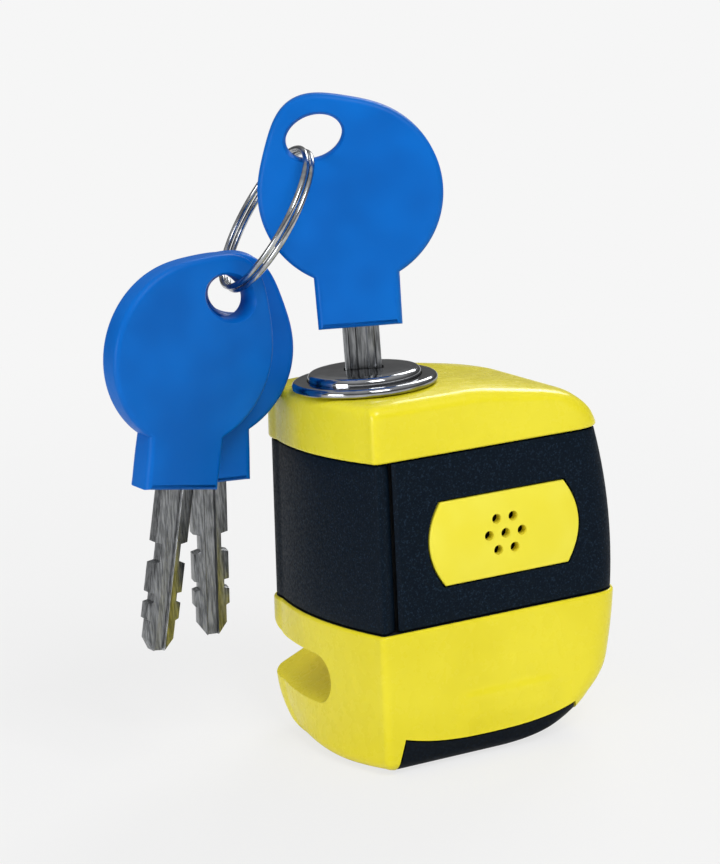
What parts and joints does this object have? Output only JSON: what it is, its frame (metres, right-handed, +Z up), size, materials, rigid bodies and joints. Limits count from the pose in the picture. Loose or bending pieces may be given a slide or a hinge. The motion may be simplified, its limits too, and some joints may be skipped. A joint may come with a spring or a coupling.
{
  "type": "disc brake lock",
  "caption": "Motorcycle disc brake lock with a siren: yellow cast body, dark waist cover, round key cylinder and a disc slot, with its key in the lock and spare keys on a split ring.",
  "frame": {"origin": "centre of the flat resting area under the lock body", "axes": "+X to the right along the wide front face, +Y towards the back where the disc slot opens, +Z up along the lock cylinder"},
  "size_m": [0.0973, 0.0477, 0.13],
  "materials": {
    "painted_zinc": "glossy yellow paint",
    "cover": "fine grained, semi-matt",
    "badge": "satin",
    "chrome": "polished chrome",
    "steel": "ground",
    "brass": "machined",
    "key_plastic": "satin",
    "board": "matt",
    "rubber": "matt",
    "dark_plastic": "matt"
  },
  "bodies": {
    "lock": {"lock_body": "painted_zinc", "front_cover": "cover", "left_cover": "cover", "rear_cover": "cover", "front_badge": "badge", "rear_badge": "badge", "battery_door": "cover", "door_seal": "rubber", "door_screw_1": "steel", "door_screw_2": "steel", "rear_screw_1": "steel", "rear_screw_2": "steel", "rear_screw_3": "steel", "rear_screw_4": "steel", "escutcheon": "chrome", "cylinder_housing": "brass", "housing_screw": "steel", "pin_bush": "steel", "detent_ball": "steel", "detent_spring": "steel", "detent_screw": "steel", "siren_housing": "dark_plastic", "piezo_disc": "brass", "circuit_board": "board", "control_chip": "dark_plastic", "motion_sensor": "chrome", "arming_switch": "dark_plastic", "button_cell_1": "chrome", "button_cell_2": "chrome", "button_cell_3": "chrome", "button_cell_4": "chrome", "contact_strip": "chrome", "contact_spring_1": "steel", "contact_spring_2": "steel"},
    "plug": {"key_plug": "brass", "plug_cap": "chrome", "sidebar": "steel", "cam_drum": "steel", "detainer_disc_1": "steel", "detainer_disc_2": "steel", "detainer_disc_3": "steel", "detainer_disc_4": "steel", "detainer_disc_5": "steel", "detainer_disc_6": "steel"},
    "bolt": {"lock_pin": "steel", "pin_carrier": "brass"},
    "key_1": {"key_head_1": "key_plastic", "key_blade_1": "steel"},
    "ring": {"key_ring": "steel"},
    "key_2": {"key_head_2": "key_plastic", "key_blade_2": "steel"},
    "key_3": {"key_head_3": "key_plastic", "key_blade_3": "steel"}
  },
  "joints": [
    {"name": "key_turn", "type": "hinge", "parent": "lock", "child": "plug", "pos_m": [-0.0145, -0.0016, 0.0727], "axis": [0, 0, 1], "range_deg": [0, 60]},
    {"name": "pin_slide", "type": "slide", "parent": "lock", "child": "bolt", "axis": [0, 0, -1], "range_m": [0, 0.0096]},
    {"name": "key_slide", "type": "slide", "parent": "plug", "child": "key_1", "axis": [0, 0, 1], "range_m": [0, 0.03]},
    {"name": "ring_swing", "type": "hinge", "parent": "key_1", "child": "ring", "pos_m": [-0.02212, 0.00179, 0.11923], "axis": [0.4067, 0.9136, 0], "range_deg": [0, 20]},
    {"name": "key_2_swing", "type": "hinge", "parent": "ring", "child": "key_2", "pos_m": [-0.03893, 0.00123, 0.09473], "axis": [0.2039, -0.9766, -0.0681], "range_deg": [-20, 5]},
    {"name": "key_3_swing", "type": "hinge", "parent": "ring", "child": "key_3", "pos_m": [-0.03782, 0.00881, 0.09491], "axis": [-0.0984, -0.9925, -0.0721], "range_deg": [-20, 0]}
  ],
  "couplings": [
    {"joint": "pin_slide", "follows": "key_turn", "m_per_rad": 0.0091673}
  ]
}
